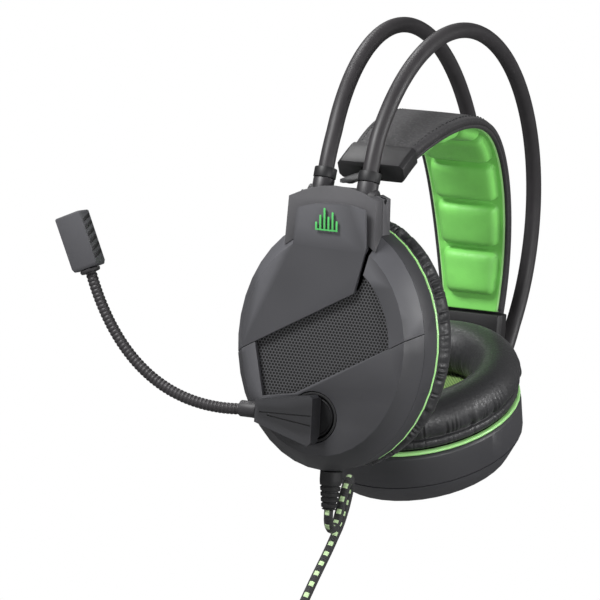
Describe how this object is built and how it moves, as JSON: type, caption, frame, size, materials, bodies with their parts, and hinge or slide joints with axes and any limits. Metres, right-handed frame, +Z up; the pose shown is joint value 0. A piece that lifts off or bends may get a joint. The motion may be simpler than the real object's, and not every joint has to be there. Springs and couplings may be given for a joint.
{
  "type": "gaming headset",
  "caption": "Over-ear gaming headset with two tubes over a padded, self-adjusting head strap, toe-in ear cups, a flexible boom microphone and a braided USB cable.",
  "frame": {"origin": "lowest place of the head pad's middle lump, under the crown of the headband, where the pad rests on the head", "axes": "+X towards the wearer's left ear, the cup with the microphone and the cable; +Y towards the back of the head; +Z up"},
  "size_m": [0.2032, 0.1779, 0.2939],
  "materials": {
    "shell_plastic": "satin, finely textured",
    "dark_plastic": "matt",
    "tube_rubber": "satin",
    "black_rubber": "matt",
    "leatherette": "satin, grained",
    "pad_green": "satin",
    "light_green": "translucent",
    "cloth": "woven",
    "grille_black": "matt, perforated",
    "board": "solder mask",
    "elastic": "woven",
    "braid": "braided",
    "plated_steel": "plated"
  },
  "bodies": {
    "headband": {"headband_strap": "leatherette", "head_pad": "pad_green", "left_end_cap": "dark_plastic", "left_elastic_strap": "elastic", "right_end_cap": "dark_plastic", "right_elastic_strap": "elastic"},
    "arch": {"front_tube": "tube_rubber", "rear_tube": "tube_rubber", "left_yoke": "dark_plastic", "left_front_collar": "black_rubber", "left_rear_collar": "black_rubber", "right_yoke": "dark_plastic", "right_front_collar": "black_rubber", "right_rear_collar": "black_rubber"},
    "left_cup": {"left_bracket_outer": "shell_plastic", "left_bracket_inner": "shell_plastic", "left_hinge_pin": "plated_steel", "left_cup_housing": "shell_plastic", "left_upper_cover": "shell_plastic", "left_lower_cover": "shell_plastic", "left_grille": "grille_black", "left_emblem": "light_green", "left_light_ring": "light_green", "left_baffle": "dark_plastic", "left_driver": "dark_plastic", "left_driver_cloth": "cloth", "left_circuit_board": "board", "left_ear_cushion": "leatherette", "mic_socket": "dark_plastic", "cable_boot": "black_rubber", "cable": "braid", "cable_coil": "braid", "cable_tie": "black_rubber", "cable_tail": "braid", "plug_relief": "black_rubber", "plug_body": "dark_plastic", "plug_shell": "plated_steel"},
    "right_cup": {"right_bracket_outer": "shell_plastic", "right_bracket_inner": "shell_plastic", "right_hinge_pin": "plated_steel", "right_cup_housing": "shell_plastic", "right_upper_cover": "shell_plastic", "right_lower_cover": "shell_plastic", "right_grille": "grille_black", "right_emblem": "light_green", "right_light_ring": "light_green", "right_baffle": "dark_plastic", "right_driver": "dark_plastic", "right_driver_cloth": "cloth", "right_circuit_board": "board", "right_ear_cushion": "leatherette"},
    "mic_boom": {"mic_hub": "dark_plastic", "mic_arm": "shell_plastic", "mic_ferrule": "dark_plastic", "mic_gooseneck": "black_rubber", "mic_throat": "dark_plastic", "mic_capsule": "shell_plastic"}
  },
  "joints": [
    {"name": "headband_slide", "type": "slide", "parent": "headband", "child": "arch", "axis": [0, 0, -1], "range_m": [0, 0.025], "stiffness_N_per_m": 60, "springref_m": -0.0833, "deforming": ["left_elastic_strap", "right_elastic_strap"]},
    {"name": "left_cup_hinge", "type": "hinge", "parent": "arch", "child": "left_cup", "pos_m": [0.09056, 0, -0.0654], "axis": [0, 1, 0], "range_deg": [-28.4, 1.5]},
    {"name": "right_cup_hinge", "type": "hinge", "parent": "arch", "child": "right_cup", "pos_m": [-0.09056, 0, -0.0654], "axis": [0, -1, 0], "range_deg": [-42.7, 0.3]},
    {"name": "mic_hinge", "type": "hinge", "parent": "left_cup", "child": "mic_boom", "pos_m": [0.05985, -0.0022, -0.151], "axis": [0.8796, 0, -0.4756], "range_deg": [-55, 60]}
  ]
}
